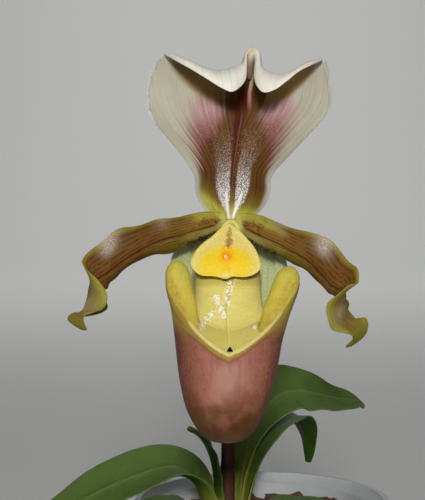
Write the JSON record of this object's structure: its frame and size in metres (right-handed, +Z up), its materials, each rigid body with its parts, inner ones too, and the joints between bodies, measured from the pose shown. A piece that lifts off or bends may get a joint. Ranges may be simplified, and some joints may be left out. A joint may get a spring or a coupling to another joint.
{
  "type": "potted slipper orchid",
  "caption": "Slipper orchid in flower in a plastic nursery pot of bark: fan-shaped dorsal sepal with a folded top, twisted petals, a pouch lip and strap leaves.",
  "frame": {"origin": "centre of the pot's underside, on the surface that it stands on", "axes": "+Z up; the flower faces -Y; +X to the flower's right as seen from the front"},
  "size_m": [0.1104, 0.1219, 0.1777],
  "materials": {
    "pot_plastic": "thin grey nursery-pot plastic, slightly cloudy, satin",
    "bark": "coarse fir bark chips, red-brown, matt and flaky",
    "root": "brown rhizome and thick roots, matt",
    "leaf": "living leaf, deep green with a paler keel, waxy sheen",
    "scape": "purple-brown flower stem with short hairs",
    "bract": "green sheath, veined, satin",
    "ovary": "ribbed green stalk with purple ribs and short hairs",
    "dorsal_sepal": "white petal with a brown and purple fan of veins, sparkling satin",
    "synsepal": "pale grey-green petal, faintly veined, satin",
    "petal": "olive petal with brown veins and a maroon midrib, glossy",
    "lip": "brown-pink pouch with yellow ears and throat, waxy",
    "column": "bright yellow shield with a golden boss, waxy"
  },
  "bodies": {
    "root": {"pot": "pot_plastic", "bark_mix": "bark", "crown": "root", "leaf_1": "leaf", "leaf_2": "leaf", "leaf_3": "leaf", "leaf_4": "leaf", "leaf_5": "leaf", "leaf_6": "leaf", "scape": "scape", "bract": "bract", "ovary": "ovary", "dorsal_sepal": "dorsal_sepal", "synsepal": "synsepal", "petal_left": "petal", "petal_right": "petal", "lip": "lip", "column": "column"}
  },
  "joints": []
}
